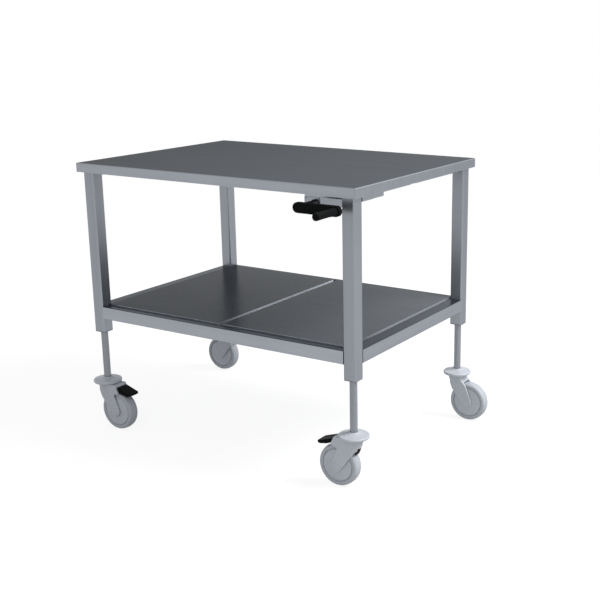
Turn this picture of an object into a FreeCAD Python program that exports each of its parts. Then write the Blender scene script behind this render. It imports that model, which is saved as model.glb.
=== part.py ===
# Height-adjustable instrument cart: a stainless worktop and shelf on four telescopic
# legs, a hand crank that pumps the legs up together, and four swivel castors.
# Millimetres, +Z up, +X along the worktop, the crank on the -Y side. The origin lies on the
# floor below the middle of the worktop.

import FreeCAD, Part
import math
import os

os.makedirs("parts", exist_ok=True)
V = FreeCAD.Vector

# Worktop: a folded sheet tray, open below
top_length = 1000.0
top_depth = 706.0
top_height = 855.0
apron_height = 28.0
apron_lip = 15.0
top_sheet = 1.5
top_edge_radius = 3.0
corner_seam = 0.8

# Stiffening channels and leg plates inside the worktop
channel_width = 60.0
channel_wall = 2.0
channel_offset = 150.0
channel_end_gap = 1.0
plate_size = 80.0
plate_thickness = 5.0
plate_gap = 0.5
plate_bolt_inset = 12.0
bolt_radius = 4.0
bolt_head_flats = 13.0
bolt_head_height = 5.0
bolt_tail = 8.0
bolt_clearance = 0.2

# Legs: square tube, guide bush at the foot, slender hydraulic cylinder inside
leg_side = 40.0
leg_wall = 2.0
leg_corner = 5.0
leg_inset_x = 13.0
leg_inset_y = 14.0
leg_foot_height = 320.0
bush_flange = 3.0
bush_plug = 60.0
bush_slack = 0.2
bush_chamfer = 1.0
cylinder_radius = 7.0
cylinder_head = 20.0
cylinder_stop = 5.0
set_screw_radius = 3.0
set_screw_height = 32.0
set_screw_inset = 11.0
set_screw_recess = 0.6

# Lift rods: a tube closed at the foot, with the hydraulic ram standing up inside it
lift_raise = 160.0
lift_lower = 140.0
rod_radius = 11.0
rod_wall = 2.5
rod_top = 650.0
rod_plug = 20.0
guide_height = 20.0
ram_radius = 3.0
ram_seat = 30.0
spigot_radius = 7.0
spigot_length = 11.0
running_clearance = 0.05

# Shelf frame and the two shelf panels
rail_height = 40.0
rail_width_long = 20.0
rail_width_short = 40.0
rail_wall = 1.5
rail_corner = 3.0
rail_top = 405.0
panel_rise = 4.0
panel_depth = 20.0
panel_sheet = 1.2
panel_corner = 6.0
panel_edge_radius = 1.0
panel_side_gap = 3.0
panel_front_gap = 9.0
panel_split = 12.0
cross_bar_width = 40.0
ledge_width = 22.0
ledge_wall = 2.0

# Crank pump under the front edge of the worktop
pump_width = 52.0
pump_height = 44.0
pump_inset = 145.0
pump_setback = 53.0
pump_wall = 2.5
pump_end = 12.0
pump_cover = 4.0
pump_edge_radius = 3.0
pump_screw_radius = 2.2
pump_screw_inset = 4.5
pump_screw_head = 2.5
spindle_side = 16.0
spindle_drop = 15.5
spindle_radius = 6.0
spindle_seat = 14.0
plunger_radius = 5.0
plunger_pitch = 12.0
plunger_lift = 12.0
plunger_seat = 15.0
plunger_stop = 5.0
carriage_thickness = 10.0
carriage_stop = 8.0
carriage_gap = 0.5
spindle_end_gap = 1.0
bracket_depth = 110.0
bracket_drop = 15.5
bracket_wall = 1.5
bracket_behind_leg = 1.0

# Hydraulic pipes from the pump to the legs
pipe_radius = 3.0
pipe_bend = 14.0
pipe_first_run = 18.0
pipe_spacing = 15.0
port_drop = 8.5
port_radius = 5.0
port_depth = 6.0
port_drilling = 1.5
port_reach = 12.0
fitting_flats = 10.0
fitting_length = 10.0
fitting_window = 8.0

# Crank
arm_length = 120.0
arm_height = 29.0
arm_thickness = 16.0
arm_edge_radius = 3.0
arm_clearance = 20.0
hub_radius = 8.5
hub_collar_radius = 10.5
hub_collar_length = 8.0
hub_gap = 1.0
spindle_cover = 4.0
grip_length = 90.0
grip_radius = 9.0
grip_waist = 8.0
grip_gap = 1.0
grip_nose_radius = 3.0
grip_pin_radius = 4.0
grip_pin_end = 6.0
grip_pin_depth = 10.0

# Castors
wheel_radius = 62.5
tyre_width = 34.0
tyre_flat = 12.0
tyre_groove = 2.0
tyre_groove_depth = 4.5
tyre_shoulder = 10.5
hub_disc_radius = 47.7
hub_disc_width = 32.0
hub_disc_edge = 1.5
hub_crown = 1.2
hub_boss_radius = 14.0
axle_radius = 5.0
axle_head_radius = 10.0
axle_head_depth = 2.0
axle_head_proud = 0.5
castor_trail = 46.0
castor_headroom = 25.0
swivel_gap = 0.5
fork_width = 50.0
fork_cheek = 6.0
fork_eye_radius = 17.5
fork_neck_radius = 27.0
fork_neck_height = 12.0
fork_neck_taper = 26.0
fork_neck_foot = 18.0
fork_front = 14.0
fork_edge_radius = 2.5
fork_crook_radius = 6.0
fork_crook_forward = 4.0
fork_crook_drop = 31.0
fork_lead_drop = 28.0
fork_brow_forward = 7.0
fork_brow_drop = 46.0
fork_web_back = 8.0
fork_back_inset = 2.0
fork_crown = 12.0
wheel_gap = 3.5
side_gap = 0.3
disc_radius = 45.0
disc_rim = 9.0
disc_edge_radius = 3.8
disc_dome = 7.0
disc_swell = 0.35
disc_collar_radius = 16.0
disc_collar_height = 1.5

# Brake rockers of the two front castors
pivot_forward = 20.0
pivot_drop = 18.0
pivot_radius = 3.0
trunnion_inset = 2.5
rocker_gap = 0.7
rocker_thickness = 6.0
brake_swing = 5.0
brake_gap = 0.2
brake_pad_length = 24.0
lever_lead = 5.0
tab_forward = 19.0
tab_width = 18.0
tab_shoulder_drop = 32.0
tab_toe = 12.0
tab_drop = 48.0
tab_thickness = 5.0
tab_gap = 0.8
pedal_width = 46.0
pedal_reach = 66.0
pedal_gap = 1.5
pedal_heel = 4.0
pedal_rise = 22.5
pedal_tip_drop = 7.5
pedal_nose = 2.0
pedal_sole = 12.0
pedal_sole_drop = 5.0
pedal_belly = 22.0
pedal_belly_rise = 4.0
pedal_corner_radius = 8.0
pedal_tip_radius = 80.0
pedal_edge_radius = 1.5
hood_reach = 66.0
hood_drop = 27.0
hood_slope = 14.0

# Positions that follow from the sizes above
half_length = top_length / 2
half_depth = top_depth / 2
apron_foot = top_height - apron_height
sheet_underside = top_height - top_sheet
leg_x = half_length - leg_inset_x - leg_side / 2
leg_y = half_depth - leg_inset_y - leg_side / 2
leg_top = apron_foot
leg_inner = leg_side - 2 * leg_wall
plate_top = leg_top + plate_thickness
plate_outer_x = half_length - apron_lip - plate_gap
plate_outer_y = half_depth - apron_lip - plate_gap
port_z = leg_top - port_drop
rail_foot = rail_top - rail_height
panel_top = rail_top + panel_rise
panel_foot = panel_top - panel_depth
castor_height = 2 * wheel_radius + castor_headroom
disc_foot = castor_height + swivel_gap
arm_back = -half_depth - arm_clearance
arm_front = arm_back - arm_thickness
grip_back = arm_front - grip_gap
grip_end = grip_back - grip_length
pump_right = half_length - pump_inset
pump_left = pump_right - pump_width
pump_front = half_depth - pump_setback
bracket_foot = leg_top - bracket_drop
pump_top = bracket_foot
pump_foot = pump_top - pump_height
spindle_x = pump_right - spindle_side
spindle_z = pump_top - spindle_drop
plunger_z = pump_foot + plunger_lift
slot_half = fork_width / 2 - fork_cheek

# Lift: the ram stays inside its cylinder over the whole travel
head_foot = leg_top - cylinder_head
ram_top = head_foot - cylinder_stop - lift_lower
cylinder_foot = ram_top - lift_raise - ram_seat
guide_radius = leg_inner / 2 - running_clearance

# Pump: oil pushed out by a plunger lifts a leg by the ratio of the two areas
plunger_share = (ram_radius / plunger_radius) ** 2
stroke_in = lift_raise * plunger_share
stroke_out = lift_lower * plunger_share
pump_cover_back = -pump_front + pump_cover
carriage_front = pump_cover_back + carriage_stop + stroke_out
carriage_back = carriage_front + carriage_thickness
block_front = carriage_back + stroke_in + carriage_stop
plunger_end = block_front + plunger_seat + stroke_out
bore_end = plunger_end + stroke_in + plunger_stop
pump_back = bore_end + pump_end

# Every corner: side along X, side along Y, direction the castor trails, braked or not
corners = {
    "front_left": (-1, -1, 1, True),
    "front_right": (1, -1, -1, True),
    "back_left": (-1, 1, -1, False),
    "back_right": (1, 1, 1, False),
}


def box(x0, x1, y0, y1, z0, z1):
    """Box between two limits on each axis, in either order."""
    x0, x1 = sorted((x0, x1))
    y0, y1 = sorted((y0, y1))
    z0, z1 = sorted((z0, z1))
    return Part.makeBox(x1 - x0, y1 - y0, z1 - z0, V(x0, y0, z0))


def rod_between(start, end, radius):
    """Round bar from one point to another."""
    span = end.sub(start)
    return Part.makeCylinder(radius, span.Length, start, span)


def hex_bar(start, end, flats):
    """Hexagonal bar across the given flats."""
    span = end.sub(start)
    turn = FreeCAD.Rotation(V(0, 0, 1), span)
    rim = flats / math.sqrt(3)
    points = []
    for side in range(7):
        angle = math.radians(60 * side)
        points.append(start + turn.multVec(V(rim * math.cos(angle), rim * math.sin(angle), 0)))
    return Part.Face(Part.makePolygon(points)).extrude(span)


def rounded_prism(width, depth, radius, length):
    """Upright prism with rounded corners, standing on the origin."""
    body = Part.makeBox(width, depth, length, V(-width / 2, -depth / 2, 0))
    upright = [edge for edge in body.Edges if edge.Vertexes[0].Point.sub(edge.Vertexes[1].Point).z != 0]
    return body.makeFillet(radius, upright)


def tube(width, depth, wall, radius, length):
    """Upright rectangular tube with rounded corners."""
    outer = rounded_prism(width, depth, radius, length)
    inner = rounded_prism(width - 2 * wall, depth - 2 * wall, radius - wall, length)
    return outer.cut(inner)


def channel(x0, x1, y0, y1, z0, z1, wall, along):
    """Channel with its web below, open above and at both ends of the named axis."""
    body = box(x0, x1, y0, y1, z0, z1)
    if along == "x":
        return body.cut(box(x0, x1, y0 + wall, y1 - wall, z0 + wall, z1))
    return body.cut(box(x0 + wall, x1 - wall, y0, y1, z0 + wall, z1))


def fillet_where(shape, radius, wanted):
    """Round the edges whose middle and ends all satisfy a test."""
    chosen = []
    for edge in shape.Edges:
        points = [edge.valueAt(edge.FirstParameter), edge.valueAt(edge.LastParameter)]
        points.append(edge.valueAt((edge.FirstParameter + edge.LastParameter) / 2))
        if all(wanted(point) for point in points):
            chosen.append(edge)
    return shape.makeFillet(radius, chosen)


def spun(outline, start, axis):
    """Solid of revolution from a closed outline."""
    return Part.Face(Part.Wire(outline)).revolve(start, axis, 360)


def line(first, second):
    return Part.LineSegment(first, second).toShape()


def arc(first, through, last):
    return Part.Arc(first, through, last).toShape()


def save(name, *shapes):
    """Write one node: a single solid, or a group of separate ones."""
    shape = shapes[0] if len(shapes) == 1 else Part.makeCompound(list(shapes))
    shape.exportStep("parts/" + name + ".step")


# Worktop tray: sheet, four aprons and return lips, with a fine seam at each corner
def make_top():
    tray = box(-half_length, half_length, -half_depth, half_depth, apron_foot, top_height)
    tray = fillet_where(tray, top_edge_radius, lambda p: abs(p.z - top_height) < 0.01)
    inner_x = half_length - top_sheet
    inner_y = half_depth - top_sheet
    tray = tray.cut(box(-inner_x, inner_x, -inner_y, inner_y, apron_foot + top_sheet, sheet_underside))
    mouth_x = half_length - apron_lip
    mouth_y = half_depth - apron_lip
    tray = tray.cut(box(-mouth_x, mouth_x, -mouth_y, mouth_y, apron_foot, apron_foot + top_sheet))
    for side_x in (-1, 1):
        for side_y in (-1, 1):
            seam = box(side_x * inner_x, side_x * (inner_x - corner_seam),
                       side_y * half_depth, side_y * (half_depth - corner_seam),
                       apron_foot, top_height - top_edge_radius)
            tray = tray.cut(seam)
    return tray


save("table_top", make_top())


# Positions of the three bolts that hold one leg plate, towards the worktop's middle
def plate_bolts(side_x, side_y):
    near_x = plate_outer_x - plate_size + plate_bolt_inset
    near_y = plate_outer_y - plate_size + plate_bolt_inset
    far_x = plate_outer_x - plate_bolt_inset
    far_y = plate_outer_y - plate_bolt_inset
    spots = ((near_x, near_y), (near_x, far_y), (far_x, near_y))
    return [V(side_x * x, side_y * y, leg_top) for x, y in spots]


bolt_spots = [spot for side_x, side_y, trail, braked in corners.values()
              for spot in plate_bolts(side_x, side_y)]


def drilled(shape):
    """Clearance holes for every leg plate bolt."""
    for spot in bolt_spots:
        hole = rod_between(spot, spot + V(0, 0, plate_thickness + channel_wall + bolt_tail),
                           bolt_radius + bolt_clearance)
        shape = shape.cut(hole)
    return shape


# Channels: one across each end of the worktop over the legs, two along it between them
channel_inner_x = plate_outer_x - plate_size
channels = []
for side in (-1, 1):
    end_y = half_depth - top_sheet - channel_end_gap
    across = channel(min(side * plate_outer_x, side * channel_inner_x),
                     max(side * plate_outer_x, side * channel_inner_x),
                     -end_y, end_y, plate_top, sheet_underside, channel_wall, "y")
    channels.append(drilled(across))
    middle = side * channel_offset
    channels.append(channel(-channel_inner_x, channel_inner_x, middle - channel_width / 2,
                            middle + channel_width / 2, plate_top, sheet_underside, channel_wall, "x"))
save("top_channels", *channels)

plates = []
bolts = []
for side_x, side_y, trail, braked in corners.values():
    plate = box(side_x * plate_outer_x, side_x * (plate_outer_x - plate_size),
                side_y * plate_outer_y, side_y * (plate_outer_y - plate_size), leg_top, plate_top)
    plates.append(drilled(plate))
for spot in bolt_spots:
    head = hex_bar(spot - V(0, 0, bolt_head_height), spot, bolt_head_flats)
    shank = rod_between(spot, spot + V(0, 0, plate_thickness + channel_wall + bolt_tail), bolt_radius)
    bolts.append(head.fuse(shank))
save("leg_plates", *plates)
save("leg_plate_bolts", *bolts)


# Side hole in one leg for its hydraulic port, and the fitting that goes through it
def port_line(side_y, y_from, y_to, x, radius):
    return rod_between(V(x, side_y * (leg_y - y_from), port_z), V(x, side_y * (leg_y - y_to), port_z), radius)


set_screws = []
bushes = []
fittings = []
for name, (side_x, side_y, trail, braked) in corners.items():
    x = side_x * leg_x
    y = side_y * leg_y
    tube_foot = leg_foot_height + bush_flange
    leg = tube(leg_side, leg_side, leg_wall, leg_corner, leg_top - tube_foot)
    leg.translate(V(x, y, tube_foot))
    port_end = leg_side / 2 + port_reach
    leg = leg.cut(port_line(side_y, 0, port_end, x, port_radius))

    # set screw through the inner face into the bush, just under the shelf frame
    screw_y = side_y * (leg_y + leg_side / 2 - set_screw_inset)
    screw_z = leg_foot_height + set_screw_height
    inward = -side_x
    face = V(x + inward * leg_side / 2, screw_y, screw_z)
    screw = rod_between(face - V(inward * leg_wall, 0, 0), face - V(inward * set_screw_recess, 0, 0),
                        set_screw_radius)
    leg = leg.cut(rod_between(face - V(inward * leg_wall, 0, 0), face, set_screw_radius))
    set_screws.append(screw)
    save("leg_" + name, leg)

    flange = rounded_prism(leg_side, leg_side, leg_corner, bush_flange)
    flange = fillet_where(flange, bush_chamfer, lambda p: abs(p.z) < 0.01)
    plug_side = leg_inner - 2 * bush_slack
    plug = rounded_prism(plug_side, plug_side, leg_corner - leg_wall, bush_plug)
    plug.translate(V(0, 0, bush_flange))
    bore = Part.makeCylinder(rod_radius + running_clearance, bush_flange + bush_plug)
    bush = flange.fuse(plug).cut(bore)
    bush.translate(V(x, y, leg_foot_height))
    bushes.append(bush)

    head_radius = leg_inner / 2 - bush_slack
    cylinder = Part.makeCylinder(head_radius, cylinder_head, V(0, 0, head_foot))
    cylinder = cylinder.fuse(Part.makeCylinder(cylinder_radius, leg_top - cylinder_foot,
                                               V(0, 0, cylinder_foot)))
    bore = Part.makeCylinder(ram_radius + running_clearance, port_z - cylinder_foot, V(0, 0, cylinder_foot))
    cylinder = cylinder.cut(bore).removeSplitter()
    cylinder.translate(V(x, y, 0))
    seat = head_radius - port_depth
    cylinder = cylinder.cut(port_line(side_y, 0, seat, x, port_drilling))
    cylinder = cylinder.cut(port_line(side_y, seat, head_radius, x, port_radius))
    save("lift_cylinder_" + name, cylinder)

    stem = port_line(side_y, seat, leg_side / 2, x, port_radius)
    nut = hex_bar(V(x, side_y * (leg_y - leg_side / 2), port_z),
                  V(x, side_y * (leg_y - port_end), port_z), fitting_flats)
    fittings.append(stem.fuse(nut))

save("leg_bushes", *bushes)
save("leg_set_screws", *set_screws)


# Shelf frame: long rails at front and back, short rails at the ends, one cross bar
rail_span_x = 2 * (leg_x - leg_side / 2)
rail_span_y = 2 * (leg_y - leg_side / 2)
rail_face_x = leg_x + leg_side / 2
rail_face_y = leg_y + leg_side / 2
rail_middle = rail_top - rail_height / 2
for name, side in (("front", -1), ("back", 1)):
    rail = tube(rail_height, rail_width_long, rail_wall, rail_corner, rail_span_x)
    rail.rotate(V(0, 0, 0), V(0, 1, 0), 90)
    rail.translate(V(-rail_span_x / 2, side * (rail_face_y - rail_width_long / 2), rail_middle))
    save("shelf_rail_" + name, rail)
for name, side in (("left", -1), ("right", 1)):
    rail = tube(rail_width_short, rail_height, rail_wall, rail_corner, rail_span_y)
    rail.rotate(V(0, 0, 0), V(1, 0, 0), -90)
    rail.translate(V(side * (rail_face_x - rail_width_short / 2), -rail_span_y / 2, rail_middle))
    save("shelf_rail_" + name, rail)

bar_span = 2 * (rail_face_y - rail_width_long)
bar_height = panel_foot - rail_foot
bar = tube(cross_bar_width, bar_height, rail_wall, rail_corner, bar_span)
bar.rotate(V(0, 0, 0), V(1, 0, 0), -90)
bar.translate(V(0, -bar_span / 2, rail_foot + bar_height / 2))
save("shelf_cross_bar", bar)

# Angle ledges on the inner faces of the short rails, under the panels' outer edges
ledges = []
rail_inner_x = rail_face_x - rail_width_short
for side in (-1, 1):
    foot = box(side * rail_inner_x, side * (rail_inner_x - ledge_width),
               -rail_span_y / 2, rail_span_y / 2, panel_foot - ledge_wall, panel_foot)
    back = box(side * rail_inner_x, side * (rail_inner_x - ledge_wall),
               -rail_span_y / 2, rail_span_y / 2, rail_foot, panel_foot)
    ledges.append(foot.fuse(back).removeSplitter())
save("shelf_ledges", *ledges)

# Shelf panels: shallow trays turned upside down, side by side
panel_inner = panel_split / 2
panel_outer = rail_inner_x - panel_side_gap
panel_length = panel_outer - panel_inner
panel_span = 2 * (rail_face_y - rail_width_long - panel_front_gap)
for name, side in (("left", -1), ("right", 1)):
    panel = rounded_prism(panel_length, panel_span, panel_corner, panel_depth)
    panel = fillet_where(panel, panel_edge_radius, lambda p: abs(p.z - panel_depth) < 0.01)
    hollow = rounded_prism(panel_length - 2 * panel_sheet, panel_span - 2 * panel_sheet,
                           panel_corner - panel_sheet, panel_depth - panel_sheet)
    panel = panel.cut(hollow)
    panel.translate(V(side * (panel_inner + panel_outer) / 2, 0, panel_foot))
    save("shelf_panel_" + name, panel)


# Pump bracket: a shallow channel that ties the pump to the right-hand end of the worktop
def make_bracket():
    front = -(leg_y - leg_side / 2) + bracket_behind_leg
    back = front + bracket_depth
    right = leg_x + leg_side / 2
    body = box(pump_left, right, front, back, bracket_foot, leg_top)
    body = body.cut(box(pump_left + bracket_wall, right - bracket_wall, front + bracket_wall,
                        back - bracket_wall, bracket_foot + bracket_wall, leg_top))
    window = rod_between(V(leg_x, front, port_z), V(leg_x, back, port_z), fitting_window)
    window = window.common(box(pump_left, right, front, back, bracket_foot + bracket_wall, leg_top))
    return body.cut(window)


save("pump_bracket", make_bracket())

pipe_order = ["front_left", "back_left", "back_right", "front_right"]
first_plunger = (pump_left + pump_right - (len(pipe_order) - 1) * plunger_pitch) / 2
plunger_spots = [first_plunger + place * plunger_pitch for place in range(len(pipe_order))]
cover_screw_spots = [(x, z) for x in (pump_left + pump_screw_inset, pump_right - pump_screw_inset)
                     for z in (pump_foot + pump_screw_inset, pump_top - pump_screw_inset)]


# Pump housing: a front chamber for the carriage and a block with four plunger bores
def make_housing():
    body = box(pump_left, pump_right, pump_cover_back, pump_back, pump_foot, pump_top)
    body = fillet_where(body, pump_edge_radius, lambda p: abs(p.z - pump_foot) < 0.01
                        and abs(p.x - (pump_left + pump_right) / 2) > pump_width / 2 - 0.01)
    body = body.cut(box(pump_left + pump_wall, pump_right - pump_wall, pump_cover_back, block_front,
                        pump_foot + pump_wall, pump_top - pump_wall))
    body = body.cut(rod_between(V(spindle_x, block_front, spindle_z),
                                V(spindle_x, block_front + spindle_seat, spindle_z),
                                spindle_radius + running_clearance))
    for x in plunger_spots:
        body = body.cut(rod_between(V(x, block_front, plunger_z), V(x, bore_end, plunger_z),
                                    plunger_radius + running_clearance))
    return body


save("pump_housing", make_housing())

cover = box(pump_left, pump_right, -pump_front, pump_cover_back, pump_foot, pump_top)
cover = cover.cut(rod_between(V(spindle_x, -pump_front, spindle_z),
                              V(spindle_x, pump_cover_back, spindle_z), spindle_radius + running_clearance))
save("pump_front_cover", cover)

cover_screws = []
for x, z in cover_screw_spots:
    cover_screws.append(rod_between(V(x, -pump_front - pump_screw_head, z), V(x, -pump_front, z),
                                    pump_screw_radius))
save("pump_cover_screws", *cover_screws)

# Carriage that the spindle drives to and fro, with the four plungers fixed to it
carriage = box(pump_left + pump_wall + carriage_gap, pump_right - pump_wall - carriage_gap,
               carriage_front, carriage_back,
               pump_foot + pump_wall + carriage_gap, pump_top - pump_wall - carriage_gap)
carriage = carriage.cut(rod_between(V(spindle_x, carriage_front, spindle_z),
                                    V(spindle_x, carriage_back, spindle_z),
                                    spindle_radius + running_clearance))
save("pump_carriage", carriage)
plungers = [rod_between(V(x, carriage_back, plunger_z), V(x, plunger_end, plunger_z), plunger_radius)
            for x in plunger_spots]
save("pump_plungers", *plungers)


# Pipe along straight runs joined by tangent arcs
def pipe_along(points, radius, bend):
    edges = []
    start = points[0]
    for before, corner, after in zip(points, points[1:], points[2:]):
        back = before.sub(corner).normalize()
        ahead = after.sub(corner).normalize()
        entry = corner + back * bend
        leave = corner + ahead * bend
        centre = corner + (back + ahead) * bend
        through = centre + corner.sub(centre).normalize() * bend
        edges.append(line(start, entry))
        edges.append(arc(entry, through, leave))
        start = leave
    edges.append(line(start, points[-1]))
    ring = Part.Wire(Part.makeCircle(radius, points[0], points[1].sub(points[0])))
    return Part.Wire(edges).makePipeShell([ring], True, True)


pipes = []
for name, x in zip(pipe_order, plunger_spots):
    side_x, side_y, trail, braked = corners[name]
    outlet = V(x, pump_back + fitting_length, plunger_z)
    turn_y = outlet.y + pipe_first_run + (pipe_spacing if side_y > 0 else 0)
    leg_face = side_y * (leg_y - leg_side / 2 - port_reach)
    points = [outlet, V(x, turn_y, plunger_z), V(x, turn_y, port_z),
              V(side_x * leg_x, turn_y, port_z), V(side_x * leg_x, leg_face, port_z)]
    pipes.append(pipe_along(points, pipe_radius, pipe_bend))
    fittings.append(hex_bar(V(x, pump_back, plunger_z), outlet, fitting_flats))
save("hydraulic_pipes", *pipes)
save("pipe_fittings", *fittings)


# Crank: spindle through the pump, arm in front of the worktop's edge, turning grip
spindle_front = arm_front + spindle_cover
hub_back = -pump_front - hub_gap
save("crank_spindle", rod_between(V(spindle_x, spindle_front, spindle_z),
                                  V(spindle_x, block_front + spindle_seat - spindle_end_gap, spindle_z),
                                  spindle_radius))


def make_arm():
    half = arm_height / 2
    left = spindle_x
    right = spindle_x + arm_length
    outline = [
        line(V(left, arm_back, spindle_z + half), V(right, arm_back, spindle_z + half)),
        arc(V(right, arm_back, spindle_z + half), V(right + half, arm_back, spindle_z),
            V(right, arm_back, spindle_z - half)),
        line(V(right, arm_back, spindle_z - half), V(left, arm_back, spindle_z - half)),
        arc(V(left, arm_back, spindle_z - half), V(left - half, arm_back, spindle_z),
            V(left, arm_back, spindle_z + half)),
    ]
    arm = Part.Face(Part.Wire(outline)).extrude(V(0, -arm_thickness, 0))
    arm = fillet_where(arm, arm_edge_radius,
                       lambda p: abs(p.y - arm_front) < 0.01 or abs(p.y - arm_back) < 0.01)
    hub = rod_between(V(spindle_x, arm_back - arm_thickness / 2, spindle_z),
                      V(spindle_x, hub_back, spindle_z), hub_radius)
    hub = hub.fuse(rod_between(V(spindle_x, hub_back - hub_collar_length, spindle_z),
                               V(spindle_x, hub_back, spindle_z), hub_collar_radius))
    arm = arm.fuse(hub)
    arm = arm.cut(rod_between(V(spindle_x, spindle_front, spindle_z),
                              V(spindle_x, hub_back, spindle_z), spindle_radius))
    return arm.cut(rod_between(V(right, arm_front, spindle_z),
                               V(right, arm_front + grip_pin_depth, spindle_z),
                               grip_pin_radius))


save("crank_arm", make_arm())

grip_x = spindle_x + arm_length
pin_end = grip_end + grip_pin_end
save("grip_pin", rod_between(V(grip_x, arm_front + grip_pin_depth, spindle_z), V(grip_x, pin_end, spindle_z),
                             grip_pin_radius))


def make_grip():
    bore = grip_pin_radius + running_clearance
    pin_room = pin_end - grip_gap
    nose = grip_nose_radius
    turn = nose * (1 - math.sqrt(0.5))
    middle = (grip_back + grip_end) / 2

    def at(radius, y):
        return V(grip_x + radius, y, spindle_z)

    outline = [
        line(at(bore, grip_back), at(grip_radius - nose, grip_back)),
        arc(at(grip_radius - nose, grip_back), at(grip_radius - turn, grip_back - turn),
            at(grip_radius, grip_back - nose)),
        arc(at(grip_radius, grip_back - nose), at(grip_waist, middle), at(grip_radius, grip_end + nose)),
        arc(at(grip_radius, grip_end + nose), at(grip_radius - turn, grip_end + turn),
            at(grip_radius - nose, grip_end)),
        line(at(grip_radius - nose, grip_end), at(0, grip_end)),
        line(at(0, grip_end), at(0, pin_room)),
        line(at(0, pin_room), at(bore, pin_room)),
        line(at(bore, pin_room), at(bore, grip_back)),
    ]
    return spun(outline, V(grip_x, 0, spindle_z), V(0, 1, 0))


save("crank_grip", make_grip())


# Castor pieces are made with the stem on the Z axis and the wheel trailing along +X
axle = V(castor_trail, 0, wheel_radius)


def tangent_point(outside, sign):
    """Where the line from a point touches the fork's round end, on one side of it."""
    gap_x = outside.x - axle.x
    gap_z = outside.z - axle.z
    angle = math.atan2(gap_z, gap_x)
    angle += sign * math.acos(fork_eye_radius / math.hypot(gap_x, gap_z))
    return angle, axle + V(math.cos(angle), 0, math.sin(angle)) * fork_eye_radius


crown_floor = castor_height - fork_crown
neck_shoulder = castor_height - fork_neck_height
neck_foot_z = neck_shoulder - fork_neck_taper
crook = V(castor_trail - fork_crook_forward, 0, castor_height - fork_crook_drop)
lead = V(-fork_front, 0, castor_height - fork_lead_drop)
brow = V(-fork_brow_forward, 0, castor_height - fork_brow_drop)
hood_low = V(hood_reach, 0, castor_height - hood_drop)
hood_high = V(hood_reach - hood_slope, 0, castor_height)
pivot = V(pivot_forward, 0, castor_height - pivot_drop)
trunnion_half = fork_width / 2 - trunnion_inset


def pressed(point):
    """Where a point of the rocker goes when its pedal is right down."""
    swing = math.radians(brake_swing)
    reach = point - pivot
    return pivot + V(reach.x * math.cos(swing) + reach.z * math.sin(swing), 0,
                     reach.z * math.cos(swing) - reach.x * math.sin(swing))


lever_top = pivot.z + rocker_thickness / 2
lever_foot = pivot.z - rocker_thickness / 2
tab_root = V(-lever_lead, 0, lever_top)
tab_shoulder = V(-tab_forward, 0, castor_height - tab_shoulder_drop)


def tab_slot():
    """Narrow opening in the front of the braked fork that the release tab swings in."""
    high = pressed(tab_root) + V(0, 0, tab_gap)
    low = pressed(tab_shoulder) + V(0, 0, tab_gap)
    far = low + low.sub(high)
    outline = [high, far, V(far.x, 0, wheel_radius), V(high.x, 0, wheel_radius), high]
    half = tab_width / 2 + rocker_gap
    face = Part.Face(Part.makePolygon(outline))
    face.translate(V(0, -half, 0))
    return face.extrude(V(0, 2 * half, 0))


def make_fork(braked):
    brow_angle, brow_touch = tangent_point(brow, 1)
    back_angle, back_touch = tangent_point(crook, -1)
    low_angle = (brow_angle + back_angle + 2 * math.pi) / 2
    low = axle + V(math.cos(low_angle), 0, math.sin(low_angle)) * fork_eye_radius
    top_front = V(-fork_front, 0, castor_height)
    path = [top_front, lead, brow, brow_touch]
    edges = [line(first, second) for first, second in zip(path, path[1:])]
    edges.append(arc(brow_touch, low, back_touch))
    if braked:
        path = [back_touch, crook, hood_low, hood_high]
    else:
        neck_back = fork_neck_radius - fork_back_inset
        path = [back_touch, crook, V(neck_back, 0, neck_shoulder), V(neck_back, 0, castor_height)]
    edges += [line(first, second) for first, second in zip(path, path[1:])]
    edges.append(line(path[-1], top_front))
    outline = Part.Face(Part.Wire(edges))
    outline.translate(V(0, -fork_width / 2, 0))
    body = outline.extrude(V(0, fork_width, 0))
    body = fillet_where(body, fork_crook_radius,
                        lambda p: abs(p.x - crook.x) < 0.1 and abs(p.z - crook.z) < 0.1)
    body = fillet_where(body, fork_edge_radius, lambda p: abs(abs(p.y) - fork_width / 2) < 0.01
                        and p.z < castor_height - 0.01)
    neck = Part.makeCylinder(fork_neck_radius, fork_neck_height, V(0, 0, neck_shoulder))
    taper = Part.makeCone(fork_neck_foot, fork_neck_radius, fork_neck_taper, V(0, 0, neck_foot_z))
    body = body.fuse(neck).fuse(taper)
    wheel_room = wheel_radius + wheel_gap
    body = body.cut(rod_between(axle - V(0, slot_half, 0), axle + V(0, slot_half, 0), wheel_room))
    if braked:
        body = body.cut(box(-fork_web_back, hood_reach, -slot_half, slot_half, wheel_radius, crown_floor))
        body = body.cut(tab_slot())
        socket = trunnion_half + side_gap
        body = body.cut(rod_between(pivot - V(0, socket, 0), pivot + V(0, socket, 0),
                                    pivot_radius + running_clearance))
    body = body.cut(Part.makeCylinder(spigot_radius + running_clearance, fork_crown,
                                      V(0, 0, crown_floor)))
    body = body.cut(rod_between(axle - V(0, fork_width, 0), axle + V(0, fork_width, 0),
                                axle_radius + running_clearance))
    for side in (-1, 1):
        seat = V(axle.x, side * (fork_width / 2 - axle_head_depth), axle.z)
        body = body.cut(rod_between(seat, seat + V(0, side * fork_width, 0),
                                    axle_head_radius + running_clearance))
    return body.removeSplitter()


def make_axle():
    reach = fork_width / 2 - axle_head_depth
    bar = rod_between(axle - V(0, reach, 0), axle + V(0, reach, 0), axle_radius)
    for side in (-1, 1):
        seat = V(axle.x, side * reach, axle.z)
        head = rod_between(seat, seat + V(0, side * (axle_head_depth + axle_head_proud), 0), axle_head_radius)
        bar = bar.fuse(head)
    return bar.removeSplitter()


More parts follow.
